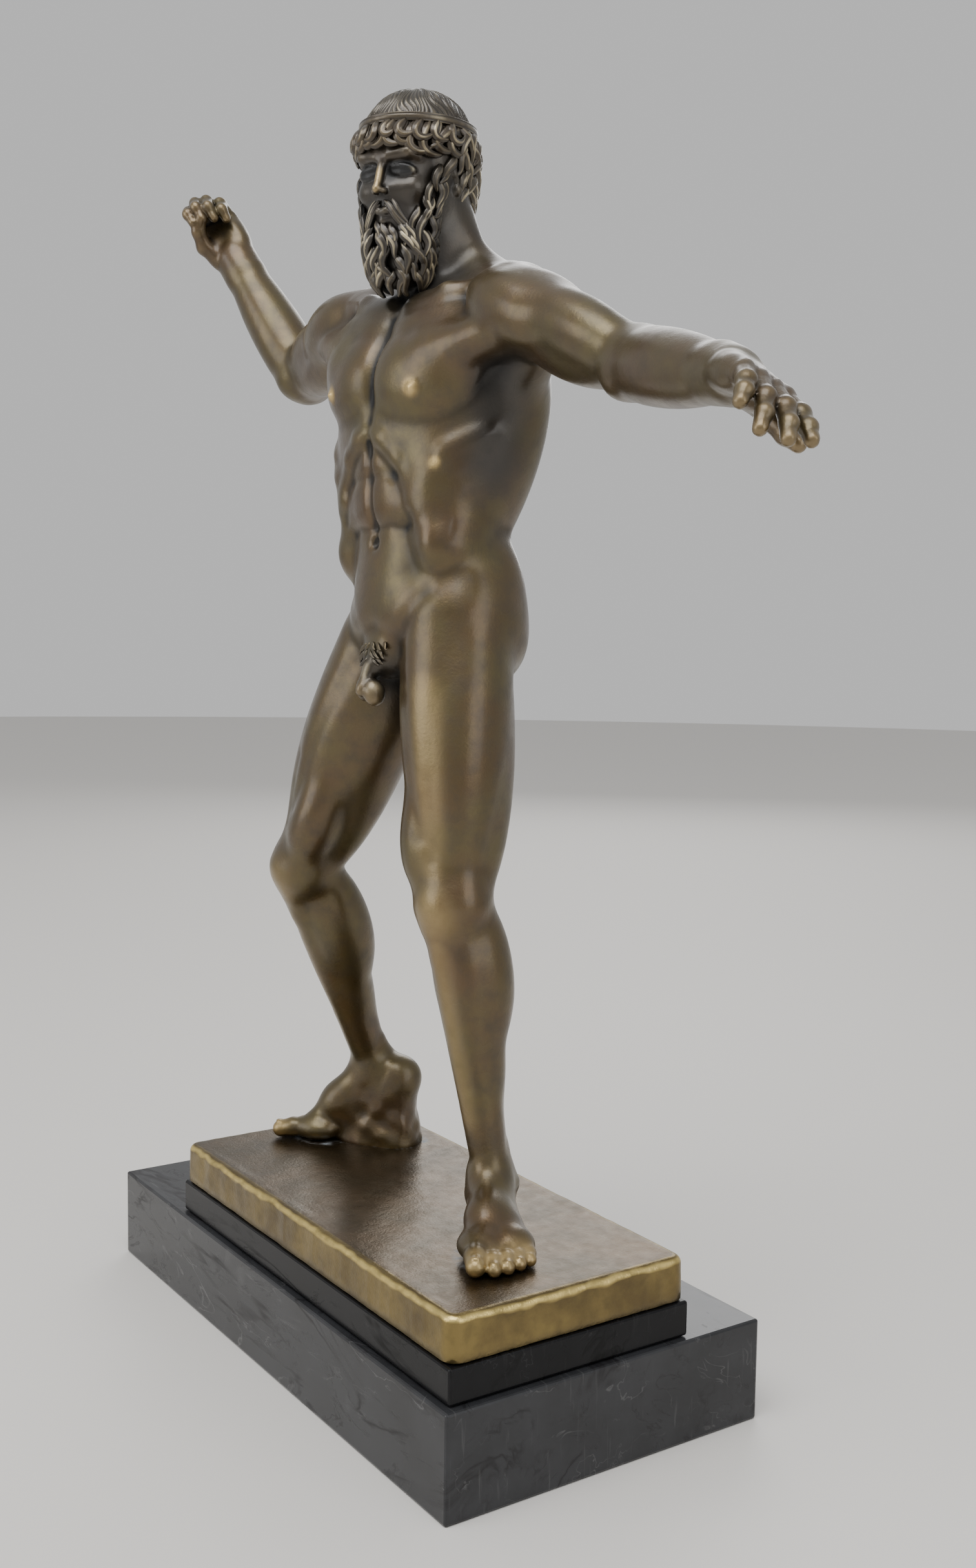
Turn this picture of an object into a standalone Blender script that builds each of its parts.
"""A bronze statuette of a bearded sea god. It stands on a bronze plinth, on a thin marble step, on a
marble base. The figure steps out with bare hands, one arm raised and the other held out.

World units are metres, +Z is up. The figure's left is +X and its front is -Y. The origin is the centre
of the base's underside, which rests on the shelf."""
import math

import bmesh
import bpy
import numpy as np
from mathutils import Matrix, Vector

# Marble base
BASE_LENGTH = 0.2286
BASE_DEPTH = 0.1135
BASE_HEIGHT = 0.0317
MARBLE_BEVEL = 0.0008

# The plinth and the step under it stand near the base's front left corner
FRONT_MARGIN = 0.0025
LEFT_MARGIN = 0.0025

# Marble step: the plinth's plan and a narrow border
STEP_HEIGHT = 0.0107
STEP_BORDER = 0.0005

# Cast bronze plinth
PLINTH_LENGTH = 0.1755
PLINTH_DEPTH = 0.0833
PLINTH_HEIGHT = 0.0135
PLINTH_CORNER = 0.0045
PLINTH_EDGE = 0.0024

# Cast bronze figure, from its soles to the top of its head
FIGURE_HEIGHT = 0.3485

# Space between pieces that rest on each other
TOUCH_GAP = 0.0003

# The figure's numbers below are millimetres for a figure this tall, and are scaled to FIGURE_HEIGHT
DRAWN_HEIGHT = 348.5
SCALE = FIGURE_HEIGHT / DRAWN_HEIGHT
VOXEL = 0.9 * SCALE
SMOOTH_ROUNDS = 2
FACES_KEPT = 0.029

# Pose: where the joints are, from the plinth's top under the figure's middle. Side 1 is left, -1 right.
PELVIS = np.array((2.0, 2.0, 184.0))
CHEST = np.array((0.0, 2.0, 249.0))
HEAD = np.array((1.0, -5.0, 324.0))
HIP = {1: np.array((19.0, 2.0, 187.0)), -1: np.array((-15.0, 2.0, 183.0))}
KNEE = {1: np.array((30.0, -5.0, 101.0)), -1: np.array((-44.0, -17.0, 104.0))}
ANKLE = {1: np.array((38.0, 4.0, 16.0)), -1: np.array((-58.0, 16.0, 27.0))}
TOES_TO = {1: np.array((0.86, -0.50, 0.0)), -1: np.array((-0.72, -0.70, 0.0))}
HEEL_LIFT = {1: 0.0, -1: math.radians(27)}
SHOULDER = {1: np.array((42.0, 4.0, 279.0)), -1: np.array((-43.0, 4.0, 285.0))}
ELBOW = {1: np.array((99.0, 6.0, 254.0)), -1: np.array((-102.0, 12.0, 276.0))}
WRIST = {1: np.array((152.0, -8.0, 243.0)), -1: np.array((-131.0, -2.0, 322.0))}
UP = np.array((0.0, 0.0, 1.0))


def vec(x, y, z):
    return np.array((x, y, z), float)


def unit(v):
    return v / np.linalg.norm(v)


class Bone:
    """Axes of one bone: x to the figure's left, y to its back, z from the bone's origin to its top."""

    def __init__(self, origin, top, back):
        self.origin = np.array(origin, float)
        z = unit(top - self.origin)
        y = unit(back - z * (back @ z))
        self.axes = np.array((np.cross(y, z), y, z))

    def at(self, x, y, z):
        return self.origin + vec(x, y, z) @ self.axes


class Body:
    """A rough figure of overlapping closed lumps, gathered in one mesh."""

    def __init__(self):
        self.mesh = bmesh.new()

    def rod(self, start, end, start_radius, end_radius):
        """A tapering limb with round ends: the convex hull of a ball at each end."""
        lump = bmesh.new()
        for centre, radius in ((start, start_radius), (end, end_radius)):
            bmesh.ops.create_icosphere(lump, subdivisions=2, radius=radius, matrix=Matrix.Translation(Vector(centre)))
        hull = bmesh.ops.convex_hull(lump, input=lump.verts)
        inner = [item for item in hull["geom_interior"] if isinstance(item, bmesh.types.BMVert)]
        bmesh.ops.delete(lump, geom=inner, context="VERTS")
        bmesh.ops.delete(lump, geom=[v for v in lump.verts if not v.link_faces], context="VERTS")
        mesh = bpy.data.meshes.new("rod")
        lump.to_mesh(mesh)
        lump.free()
        self.mesh.from_mesh(mesh)
        bpy.data.meshes.remove(mesh)

    def egg(self, centre, radii, axes, taper=0.0):
        """An ellipsoid along three axes. A taper above 0 makes it thicker towards the end of its z axis."""
        for vert in bmesh.ops.create_icosphere(self.mesh, subdivisions=3, radius=1)["verts"]:
            x, y, z = vert.co
            wide = 1 + taper * z
            vert.co = Vector(centre + axes[0] * x * radii[0] * wide + axes[1] * y * radii[1] * wide + axes[2] * z * radii[2])

    def limb(self, bone, start, end, start_radius, end_radius):
        self.rod(bone.at(*start), bone.at(*end), start_radius, end_radius)

    def mass(self, bone, centre, radii, turn=(0, 0, 0), taper=0.0):
        """An egg on a bone, turned by degrees about the bone's x, y and z."""
        rx, ry, rz = (Matrix.Rotation(math.radians(a), 3, n) for a, n in zip(turn, "XYZ"))
        self.egg(bone.at(*centre), radii, np.array(rz @ ry @ rx).T @ bone.axes, taper)

    def muscle(self, bone, start, end, wide, deep, taper=0.0):
        """A muscle's belly from start to end, wide across the bone's x."""
        a, b = bone.at(*start), bone.at(*end)
        self.belly(a, b, bone.axes[0], wide, deep, taper)

    def belly(self, a, b, across, wide, deep, taper=0.0):
        z = unit(b - a)
        x = unit(across - z * (across @ z))
        self.egg((a + b) / 2, (wide, deep, np.linalg.norm(b - a) / 2), np.array((x, np.cross(z, x), z)), taper)


def pelvis_bone():
    return Bone(PELVIS, PELVIS + vec(-0.07, 0.02, 1), vec(0.06, 1, 0))


def belly_bone():
    return Bone((PELVIS + CHEST) / 2 - vec(0, 1, 0), CHEST, vec(-0.03, 1, 0))


def chest_bone():
    return Bone(CHEST, CHEST + vec(0.045, 0.03, 1), vec(-0.10, 1, 0))


def head_bone():
    return Bone(HEAD, HEAD + vec(0.06, -0.10, 1), vec(-0.5, 1, 0))


def rib_width(y, z):
    """Half the rib cage's width at a depth y and a height z of the chest."""
    return 37 * (1 - 0.12 * z / 43) * math.sqrt(1 - ((y - 2) / 24) ** 2 - (z / 43) ** 2)


def torso(body):
    hips, waist, chest = pelvis_bone(), belly_bone(), chest_bone()
    body.mass(chest, (0, 2, 0), (37, 24, 43), taper=-0.12)
    body.mass(chest, (0, 5, 24), (33, 19, 18))
    body.mass(waist, (0, 1, 0), (27, 18.5, 38))
    body.mass(hips, (0, 3, 8), (30, 20, 21))
    body.mass(hips, (0, -7, 4), (19, 12, 18))
    body.mass(chest, (0, 9, 32), (27, 12, 18))
    body.limb(chest, (0, 5, 32), (0.5, -2, 66), 13.0, 11.3)
    for s in (1, -1):
        reach = ELBOW[s] - SHOULDER[s]
        # shoulders, neck muscle and collar bone
        body.limb(chest, (0, 5, 29), (s * 35, 4, 33), 12, 11)
        body.limb(chest, (s * 4, 4, 60), (s * 11, 9, 42), 6.5, 7.5)
        body.limb(chest, (s * 11, 11, 43), (s * 38, 6, 36), 8.0, 7.0)
        body.limb(chest, (s * 4, -10.5, 32.5), (s * 20, -9.5, 35.5), 2.4, 2.2)
        body.limb(chest, (s * 20, -9.5, 35.5), (s * 38, -2, 38), 2.2, 2.8)
        # breast
        body.mass(chest, (s * 17.0, -13.6, 11.5), (19.0, 9.4, 14.8), turn=(-10, s * -8, s * 18))
        body.mass(chest, (s * 9.5, -14.2, 13), (10.5, 7.2, 14.0), turn=(-6, 0, s * 8))
        body.mass(chest, (s * 19, -8.5, 25), (19, 8.5, 11), turn=(0, s * 6, s * 14))
        body.rod(chest.at(s * 22, -11.5, 17), SHOULDER[s] + reach * 0.26 + vec(0, -5.5, -1), 8.8, 6.2)
        # back
        body.rod(chest.at(s * 30, 8, 8), SHOULDER[s] + reach * 0.20 + vec(0, 5, -4), 9.5, 6.5)
        body.muscle(chest, (s * 33, 9, 26), (s * 17, 9, -46), 12, 14, taper=-0.25)
        body.mass(chest, (s * 20, 14, 18), (15, 9, 19), turn=(-6, 0, s * -12))
        body.limb(chest, (s * 14, 15, 30), (s * 37, 9, 32), 7, 6)
        body.limb(waist, (s * 8, 15, -34), (s * 8.5, 16.5, 12), 8.5, 7)
        body.limb(waist, (s * 8.5, 16.5, 12), (s * 9, 18, 50), 7, 6)
        # belly: three short pads and a long one
        for z, half in ((31, 7.2), (18, 7.4), (4.5, 7.6)):
            body.mass(waist, (s * 8.0, -15.0, z), (8.8, 4.6, half), turn=(0, 0, s * 12))
        body.mass(waist, (s * 7.4, -13.8, -16), (9.0, 4.8, 17), turn=(-6, 0, s * 12))
        # flank and the teeth of muscle on the ribs
        body.mass(waist, (s * 20.5, 2, -11), (9.0, 15.5, 14), turn=(-12, s * 4, s * 10))
        body.mass(waist, (s * 22, -2, 8), (8.5, 14, 17))
        for i in range(4):
            z, y = -1 - 7.4 * i, -6.5 - 1.9 * i
            body.mass(chest, (s * (rib_width(y, z) - 1.6), y, z), (3.4, 9.5, 3.6), turn=(28, 0, -s * (30 + 6 * i)))
        # seat
        body.mass(hips, (s * 14.5, 11.5, -1), (15.5, 14.5, 19), turn=(0, 0, s * -8))
        body.mass(hips, (s * 22, 6, 8), (11, 14, 15))
        body.mass(hips, (s * 15, 11, 15), (14, 10, 14))
        body.mass(hips, (s * 2.6, -20.0, -19 - 0.7 * s), (3.5, 3.8, 4.6))
    body.limb(hips, (0, -20.5, -13.5), (0, -22.8, -19.5), 2.6, 2.1)
    body.mass(hips, (0, -14, -8), (10, 7, 8))


def leg(body, s):
    back = unit(vec(0, 1, 0) - TOES_TO[s] * 0.35)
    thigh = Bone(KNEE[s], HIP[s], back)
    n = np.linalg.norm(HIP[s] - KNEE[s])
    body.limb(thigh, (0, 0, n), (0, 0, 0), 18, 10.5)
    body.muscle(thigh, (s * 1, -5, n + 4), (0, -4.5, 4), 13.5, 13, taper=-0.12)
    body.muscle(thigh, (s * 10, 0, n + 2), (s * 7.5, -2.5, 6), 9.5, 13, taper=-0.05)
    body.muscle(thigh, (s * -6, -4.5, n * 0.55), (s * -6.5, -5.0, 3), 8.5, 8.5, taper=0.25)
    body.muscle(thigh, (s * -8, 3, n - 2), (s * -6, 3, n * 0.25), 12, 13, taper=-0.2)
    for x in (5, -5):
        body.muscle(thigh, (s * x, 9, n - 6), (s * x * 1.2, 5.5, 2), 9, 9.5, taper=-0.05)
    shin = Bone(ANKLE[s], KNEE[s], back)
    m = np.linalg.norm(KNEE[s] - ANKLE[s])
    # knee
    body.limb(shin, (s * -3.6, -1, m), (s * 3.6, -1, m), 8.3, 8.3)
    body.mass(shin, (0, -8.4, m + 1), (5.4, 3.6, 6.4))
    body.limb(shin, (0, -7.6, m - 5), (s * -0.5, -5.8, m - 15), 3.6, 4.0)
    # calf, shin and ankle
    body.limb(shin, (0, 0, m), (0, 1, 0), 9.2, 6.0)
    body.muscle(shin, (s * -4.6, 4.5, m + 2), (s * -3, 5.5, m * 0.42), 9.4, 10.8, taper=0.05)
    body.muscle(shin, (s * 4.8, 4.5, m + 2), (s * 3.6, 5.5, m * 0.46), 8.6, 10.2, taper=0.05)
    body.muscle(shin, (0, 3.5, m * 0.78), (0, 5, m * 0.12), 9.0, 7.5)
    body.muscle(shin, (s * 3.5, -3.5, m - 6), (s * 1, -2.5, m * 0.2), 6.5, 6.5, taper=-0.2)
    body.limb(shin, (s * -2, -5.5, m - 8), (s * -2.0, -2.5, 8), 4.4, 3.6)
    body.limb(shin, (0, 6.5, m * 0.38), (0, 7.6, 4), 3.4, 3.2)
    body.mass(shin, (s * -6.2, -0.5, 1.5), (3.2, 4.2, 4.6))
    body.mass(shin, (s * 6.2, 1.5, -0.5), (3.0, 3.8, 4.6))


def arch_bone(s):
    """The sole under the ankle: y to the heel, z up. It turns up with the heel's lift."""
    toes_to, lift = TOES_TO[s], HEEL_LIFT[s]
    sole_up = unit(UP * math.cos(lift) + toes_to * math.sin(lift))
    ankle_over_sole = 16 if lift == 0 else 15.5
    return Bone(ANKLE[s] - sole_up * ankle_over_sole, ANKLE[s], -toes_to)


def foot(body, s):
    """The heel and arch, and the ball and toes that lie flat on the plinth."""
    arch = arch_bone(s)
    ball = arch.at(0, -26, 5) * vec(1, 1, 0)
    front = Bone(ball, ball + UP, -TOES_TO[s])
    body.mass(arch, (0, 9.5, 7.2), (6.8, 7.6, 7.4))
    body.limb(arch, (0, 7.5, 12), (0, 1, 17), 5.5, 7)
    body.limb(arch, (0, 0, 14.5), (s * -1.5, -15, 10), 7.6, 6.3)
    body.limb(arch, (s * -1.5, -15, 10), (s * -3, -27, 6.2), 6.2, 5.0)
    body.limb(arch, (s * 3, 4, 6), (s * 7.5, -22, 4.8), 5.6, 4.6)
    body.limb(arch, (s * -1, -14, 7), (s * 5, -24, 5.4), 6, 4.8)
    body.mass(front, (s * -5.5, -0.5, 5.0), (5.6, 7, 4.9))
    body.mass(front, (s * 3.5, 1.5, 4.5), (8.0, 7, 4.3))
    # toes, from the big one: place across, knuckle's place, tip's place and the knuckle's radius
    for x, knuckle, tip, radius in ((-6.3, -3.0, -12.6, 3.7), (-0.9, -3.5, -12.2, 2.8), (3.2, -2.5, -10.2, 2.6),
                                    (6.9, -1.0, -7.6, 2.5), (10.2, 1.0, -4.6, 2.4)):
        body.limb(front, (s * x, knuckle, radius + 1.4), (s * x * 1.04, tip, radius * 0.95), radius, radius * 0.92)


def heel_rest(body):
    """The lump of bronze between the raised right heel and the plinth: two rows of stout posts, side by side."""
    arch = arch_bone(-1)
    for x in (-3.2, 3.2):
        for y in (8.5, 4.5, 0.5, -3.5, -7.5, -11.5):
            top = arch.at(x, y, 3.0)
            body.rod(top, top * vec(1, 1, 0) + UP * 1.5, 3.8, 4.4)


def arm(body, s):
    """One arm from the shoulder to the wrist. Returns the side of it on which the elbow folds."""
    reach, fore = unit(ELBOW[s] - SHOULDER[s]), unit(WRIST[s] - ELBOW[s])
    fold = unit(fore - reach * (fore @ reach))
    if s > 0:
        fold = unit(fold * 0.25 + vec(0.1, -0.75, 0.65))
    upper = Bone(ELBOW[s], SHOULDER[s], -fold)
    n = np.linalg.norm(SHOULDER[s] - ELBOW[s])
    body.limb(upper, (0, 0, n), (0, 0, 0), 11.2, 7.8)
    # shoulder cap in three heads: front, middle and back
    for near, far, length, wide, deep in (((-8, -7, 4), (0, -5, 0), 34, 9.5, 10.0), ((-6, 0, 5), (0, 0, 2), 38, 11.5, 10.5),
                                          ((-9, 9, 3), (0, 6, -1), 33, 9.5, 9.5)):
        start = SHOULDER[s] + vec(*near) * vec(s, 1, 1)
        body.belly(start, SHOULDER[s] + reach * length + vec(*far), vec(0, 1, 0), wide, deep)
    # the muscle that folds the elbow, and the two behind it
    body.muscle(upper, (0, -6.0, n * 0.82), (0, -4.2, n * 0.04), 8.8, 8.4, taper=0.08)
    body.muscle(upper, (s * 3.6, 5.4, n * 0.94), (s * 2.8, 4.2, n * 0.16), 8.0, 8.8, taper=-0.05)
    body.muscle(upper, (s * -3.6, 5.2, n * 0.88), (s * -2.8, 4.2, n * 0.12), 7.6, 8.4, taper=-0.05)
    body.limb(upper, (0, 5.0, n * 0.35), (0, 5.4, 1), 4.4, 4.0)
    body.limb(upper, (s * -4.6, 0.5, 1), (s * 4.6, 0.5, 1), 5.6, 5.6)
    lower = Bone(WRIST[s], ELBOW[s], -fold if s > 0 else unit(reach - fold * 0.2))
    m = np.linalg.norm(WRIST[s] - ELBOW[s])
    body.limb(lower, (0, 0, m), (0, 0, 0), 7.6, 5.4)
    body.muscle(lower, (s * 4.4, -2, m * 1.16), (s * 2.5, -1.0, m * 0.34), 6.2, 6.6, taper=-0.1)
    body.muscle(lower, (s * -3.8, -1.0, m * 1.02), (s * -2.4, 0, m * 0.26), 6.6, 7.2, taper=-0.15)
    body.muscle(lower, (s * 1.5, 3.6, m * 0.98), (s * 1.0, 2.0, m * 0.22), 6.2, 5.4, taper=-0.1)


def hand(body, palm, thumb_side, curls, spreads, thumb_steps):
    """A hand: y is its back and z runs from the fingers to the wrist. Curls are each finger's three bends."""
    t = thumb_side
    body.limb(palm, (t * 1.8, 0, 4), (t * -1.8, 0, 4), 4.9, 4.6)
    body.mass(palm, (0, 0.4, -9.5), (8.3, 3.6, 10.5))
    body.limb(palm, (t * 4.8, 0, -8), (t * 5.8, 0.3, -17.5), 3.0, 2.9)
    body.limb(palm, (t * -4.8, 0.2, -5), (t * -5.8, 0, -15.5), 3.2, 2.6)
    body.mass(palm, (t * 4.6, -1.9, -6.0), (3.9, 3.3, 6.8), turn=(0, t * 18, 0))
    body.mass(palm, (t * -4.8, -1.8, -6.5), (3.2, 2.9, 7.0))
    rows = ((5.9, -17.8, 1.02), (2.0, -18.8, 1.12), (-1.9, -18.0, 1.04), (-5.6, -16.2, 0.82))
    for (x, z, size), bends, spread in zip(rows, curls, spreads):
        place, angle, fan = vec(t * x, 0.5, z), 0.0, math.radians(t * spread)
        for length, radius, next_radius, bend in zip((8.4, 5.6, 4.4), (2.5, 2.35, 2.1), (2.35, 2.1, 1.75), bends):
            angle += math.radians(bend)
            step = vec(math.sin(fan) * math.cos(angle), -math.sin(angle), -math.cos(angle) * math.cos(fan))
            body.limb(palm, place, place + step * length * size, radius, next_radius)
            place = place + step * length * size
    place = vec(5.0, -1, -2)
    for step, radius, next_radius in zip(thumb_steps, (3.4, 2.9, 2.5), (2.9, 2.5, 2.0)):
        end = place + vec(*step)
        body.limb(palm, place * vec(t, 1, 1), end * vec(t, 1, 1), radius, next_radius)
        place = end


def both_hands(body):
    # the left hand is open, palm down
    fingers_to = unit(unit(WRIST[1] - ELBOW[1]) + vec(0, -0.1, -0.12))
    palm = Bone(WRIST[1], WRIST[1] - fingers_to, unit(vec(0.1, 0.45, 0.9)))
    hand(body, palm, -1, ((8, 10, 8), (12, 14, 10), (16, 18, 12), (14, 16, 12)), (7, 1, -4, -11),
         ((4.4, -2.6, -6.6), (3.2, -1.4, -5.2), (1.8, -0.6, -4.6)))
    # the right hand is loosely closed
    fingers_to = unit(unit(WRIST[-1] - ELBOW[-1]) + vec(-0.1, 0.0, 0.1))
    palm = Bone(WRIST[-1], WRIST[-1] - fingers_to, unit(vec(-0.8, 0.6, 0.1)))
    hand(body, palm, 1, ((58, 70, 46), (62, 74, 48), (66, 76, 50), (70, 78, 50)), (2, 0, -2, -5),
         ((2.4, -4.6, -5.6), (-1.4, -4.0, -4.0), (-3.2, -1.8, -2.2)))


def lock(body, bone, start, flow, side, length, radius):
    """A lock of hair in three short rods. It leaves start along flow, swings to the side and thins."""
    flow = unit(flow)
    side = unit(side - flow * (side @ flow))
    steps = [i / 3 for i in range(4)]
    places = [start + flow * length * t + side * (math.sin(5.6 * t) + t * t) for t in steps]
    radii = [radius * (1 - 0.6 * t ** 1.6) for t in steps]
    for a, b, ra, rb in zip(places[:-1], places[1:], radii[:-1], radii[1:]):
        body.limb(bone, a, b, ra, rb)


def around(phi, z, wide, deep):
    """A point on the head's oval at the angle phi from the face."""
    return vec(wide * math.sin(phi), 5.0 - deep * math.cos(phi), z)


def face(body, head):
    body.mass(head, (0, 4, 5), (15.6, 19, 17))
    body.mass(head, (0, -5, -5.0), (12.6, 13, 18.5))
    body.mass(head, (0, -7, -17), (10.5, 10, 8))
    body.mass(head, (0, -8.5, 5.5), (11.5, 8.5, 7.5))
    for s in (1, -1):
        # brow, cheek, side of the nose, eye, upper lip and ear
        body.limb(head, (s * 2.2, -16.6, 0.6), (s * 8.6, -14.4, 1.6), 1.9, 1.7)
        body.limb(head, (s * 8.6, -14.4, 1.6), (s * 11.2, -10.5, -0.6), 1.7, 1.4)
        body.mass(head, (s * 8.6, -11.2, -8.2), (4.4, 4.8, 4.2))
        body.mass(head, (s * 2.3, -18.6, -9.0), (1.7, 2.0, 1.6))
        body.mass(head, (s * 5.6, -12.6, -2.6), (3.3, 3.4, 2.7))
        body.limb(head, (s * 3.4, -16.3, -14.6), (0, -17.6, -14.0), 1.1, 1.4)
        body.mass(head, (s * 15.2, 2.6, -2.5), (2.2, 4.2, 6.4), turn=(-12, 0, s * -18))
    body.limb(head, (0, -16.4, 1.0), (0, -20.8, -8.6), 1.5, 2.0)
    body.limb(head, (-2.8, -16.0, -16.9), (2.8, -16.0, -16.9), 1.5, 1.5)


def hair(body, head):
    body.mass(head, (0, 5, 6.5), (17.4, 19.8, 17.6))
    body.mass(head, (0, 8, -3), (15.6, 15.5, 14.5))
    # band
    parts = 24
    turns = [2 * math.pi * i / parts for i in range(parts + 1)]
    ring = [around(phi, 9.5 + 2.0 * math.cos(phi), 17.9, 20.4) for phi in turns]
    for a, b in zip(ring[:-1], ring[1:]):
        body.limb(head, a, b, 1.5, 1.5)
    # curls over the forehead
    for degrees in range(-65, 66, 13):
        phi = math.radians(degrees)
        outward = vec(math.sin(phi), -math.cos(phi), 0)
        along = vec(math.cos(phi), math.sin(phi), 0)
        start = around(phi, 10.3, 17.2, 19.6)
        lock(body, head, start, outward * 0.12 - UP, along * (1 if phi > 0 else -1), 9.2, 2.35)
        lock(body, head, start + outward * 1.1 - UP, outward * 0.1 - UP, -along, 5.8, 1.9)
    # three rows of locks round the back, each narrower than the one above
    for row, (z, length, count) in enumerate(((7.5, 10, 13), (0.5, 10, 12), (-6.0, 9.5, 11))):
        narrow = 1 - 0.04 * row
        for i in range(count):
            phi = math.radians(98 + 164.0 * (i + 0.5 * (row % 2)) / (count - 0.5))
            side = vec(math.cos(phi), math.sin(phi), 0) * (1 if (i + row) % 2 else -1)
            lock(body, head, around(phi, z, 17.0 * narrow, 19.2 * narrow), -UP, side, length, 2.5)


def beard(body, head):
    body.mass(head, (0, -8.5, -22), (11.5, 9.0, 13.5))
    for s in (1, -1):
        body.mass(head, (s * 12.6, -0.5, 1.5), (3.6, 6.5, 9))
        for i in range(4):
            start = vec(s * (13.6 - 0.5 * i), -0.5 - 2.2 * i, -5.5 - 2.6 * i)
            lock(body, head, start, vec(s * -0.10, -0.30, -1), vec(0.2 * s, -1, 0), 10.5, 2.3)
        # moustache
        lock(body, head, vec(s * 0.9, -18.4, -11.6), vec(s, 0.15, -0.80), vec(0, -0.3, 1), 9.5, 1.75)
        lock(body, head, vec(s * 1.6, -17.8, -12.4), vec(s, 0.30, -0.35), vec(0, 0, -1), 7.5, 1.5)
    # three rows of locks down the chin
    for z, radius, length, count, spread in ((-18.6, 11.8, 10.5, 9, 78), (-24.5, 11.0, 10.5, 8, 70), (-29.5, 9.0, 9.5, 7, 62)):
        for i in range(count):
            phi = math.radians(-spread + 2 * spread * i / (count - 1))
            start = vec(radius * math.sin(phi), -8.0 - (radius - 1.5) * math.cos(phi), z)
            side = vec(math.cos(phi), math.sin(phi), 0) * (1 if i % 2 else -1)
            lock(body, head, start, vec(-math.sin(phi) * 0.18, -0.05, -1), side, length, 2.2)


def material(name, colour, roughness, metallic):
    made = bpy.data.materials.new(name)
    made.use_nodes = True
    shader = made.node_tree.nodes["Principled BSDF"]
    shader.inputs["Base Color"].default_value = (*colour, 1)
    shader.inputs["Roughness"].default_value = roughness
    shader.inputs["Metallic"].default_value = metallic
    return made


def add_object(name, mesh, look, location=(0, 0, 0)):
    thing = bpy.data.objects.new(name, mesh)
    thing.location = location
    bpy.context.scene.collection.objects.link(thing)
    if look:
        thing.data.materials.append(look)
    return thing


def block(name, length, depth, height, look, location):
    """A box standing on its origin."""
    shape = bmesh.new()
    bmesh.ops.create_cube(shape, size=1)
    bmesh.ops.scale(shape, vec=(length, depth, height), verts=shape.verts)
    bmesh.ops.translate(shape, vec=(0, 0, height / 2), verts=shape.verts)
    mesh = bpy.data.meshes.new(name)
    shape.to_mesh(mesh)
    shape.free()
    return add_object(name, mesh, look, location)


def marble_slab(name, length, depth, height, look, location):
    slab = block(name, length, depth, height, look, location)
    bevel = slab.modifiers.new("worn edges", "BEVEL")
    bevel.width = MARBLE_BEVEL
    bevel.segments = 2
    return slab


def plinth(look, location):
    """The cast plinth: its upright corners are rounded first, then the rim of its top."""
    shape = bmesh.new()
    bmesh.ops.create_cube(shape, size=1)
    bmesh.ops.scale(shape, vec=(PLINTH_LENGTH, PLINTH_DEPTH, PLINTH_HEIGHT), verts=shape.verts)
    bmesh.ops.translate(shape, vec=(0, 0, PLINTH_HEIGHT / 2), verts=shape.verts)
    upright = [e for e in shape.edges if abs(e.verts[0].co.z - e.verts[1].co.z) > PLINTH_HEIGHT / 2]
    bmesh.ops.bevel(shape, geom=upright, offset=PLINTH_CORNER, segments=5, profile=0.5, affect="EDGES")
    rim = [e for e in shape.edges if all(v.co.z > PLINTH_HEIGHT * 0.99 for v in e.verts)]
    bmesh.ops.bevel(shape, geom=rim, offset=PLINTH_EDGE, segments=4, profile=0.5, affect="EDGES")
    mesh = bpy.data.meshes.new("bronze_plinth")
    shape.to_mesh(mesh)
    shape.free()
    made = add_object("bronze_plinth", mesh, look, location)
    made.data.shade_smooth()
    made.data.set_sharp_from_angle(angle=math.radians(40))
    return made


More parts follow.
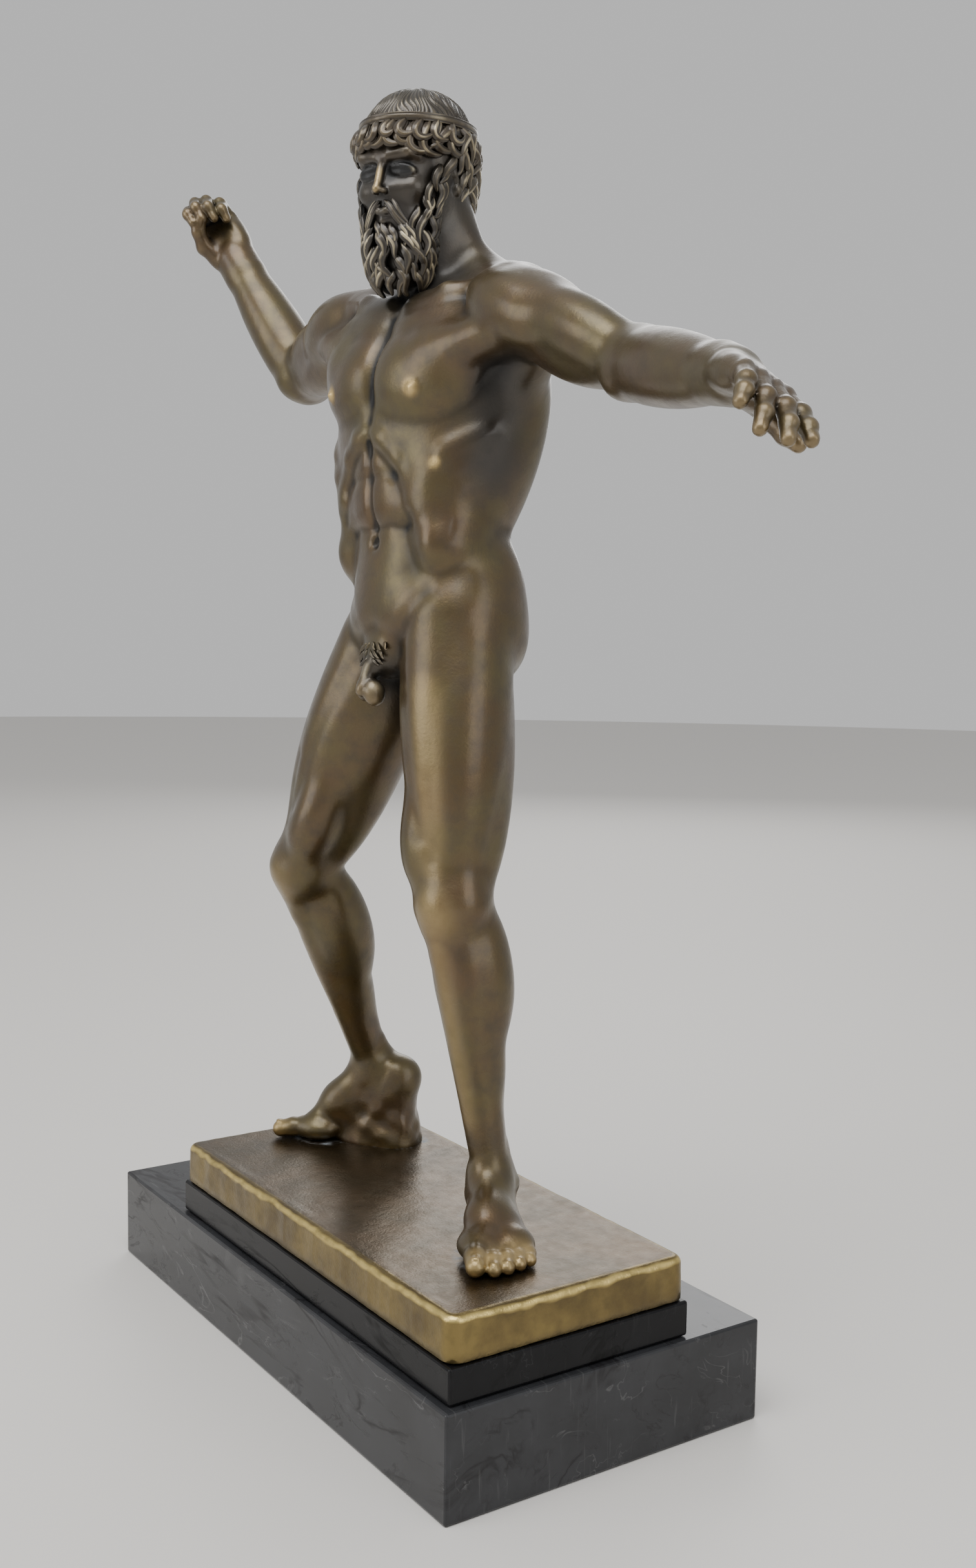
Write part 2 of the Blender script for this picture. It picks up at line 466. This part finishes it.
def figure(look, location):
    """All the lumps, melted into one skin, smoothed and thinned out, with the soles cut flat."""
    body = Body()
    torso(body)
    for s in (1, -1):
        leg(body, s)
        foot(body, s)
        arm(body, s)
    heel_rest(body)
    both_hands(body)
    head = head_bone()
    face(body, head)
    hair(body, head)
    beard(body, head)
    bmesh.ops.scale(body.mesh, vec=(SCALE, SCALE, SCALE), verts=body.mesh.verts)
    mesh = bpy.data.meshes.new("bronze_figure")
    body.mesh.to_mesh(mesh)
    body.mesh.free()
    made = add_object("bronze_figure", mesh, look, location)
    melt = made.modifiers.new("melt together", "REMESH")
    melt.mode = "VOXEL"
    melt.voxel_size = VOXEL
    melt.use_smooth_shade = True
    soften = made.modifiers.new("soften", "SMOOTH")
    soften.iterations = round(SMOOTH_ROUNDS)
    soften.factor = 0.5
    thin = made.modifiers.new("thin out", "DECIMATE")
    thin.ratio = FACES_KEPT
    x, y, z = location
    under = 0.05 * FIGURE_HEIGHT
    cutter = block("sole_cutter", FIGURE_HEIGHT, FIGURE_HEIGHT, under, None, (x, y, z - under))
    cutter.hide_render = True
    cutter.display_type = "WIRE"
    flat = made.modifiers.new("flat soles", "BOOLEAN")
    flat.operation = "DIFFERENCE"
    flat.object = cutter
    return made


def main():
    for thing in list(bpy.data.objects):
        bpy.data.objects.remove(thing)
    marble = material("grey marble", (0.055, 0.055, 0.058), 0.25, 0.0)
    dark_marble = material("black marble", (0.018, 0.018, 0.020), 0.25, 0.0)
    bronze = material("patinated bronze", (0.16, 0.105, 0.055), 0.38, 1.0)
    worn_bronze = material("rubbed bronze", (0.23, 0.16, 0.065), 0.35, 1.0)

    stand_x = BASE_LENGTH / 2 - LEFT_MARGIN - STEP_BORDER - PLINTH_LENGTH / 2
    stand_y = -(BASE_DEPTH / 2 - FRONT_MARGIN - STEP_BORDER - PLINTH_DEPTH / 2)
    step_z = BASE_HEIGHT + TOUCH_GAP
    plinth_z = step_z + STEP_HEIGHT + TOUCH_GAP
    sole_z = plinth_z + PLINTH_HEIGHT + TOUCH_GAP

    marble_slab("marble_base", BASE_LENGTH, BASE_DEPTH, BASE_HEIGHT, marble, (0, 0, 0))
    marble_slab("marble_step", PLINTH_LENGTH + 2 * STEP_BORDER, PLINTH_DEPTH + 2 * STEP_BORDER, STEP_HEIGHT,
                dark_marble, (stand_x, stand_y, step_z))
    plinth(worn_bronze, (stand_x, stand_y, plinth_z))
    figure(bronze, (stand_x, stand_y, sole_z))


main()
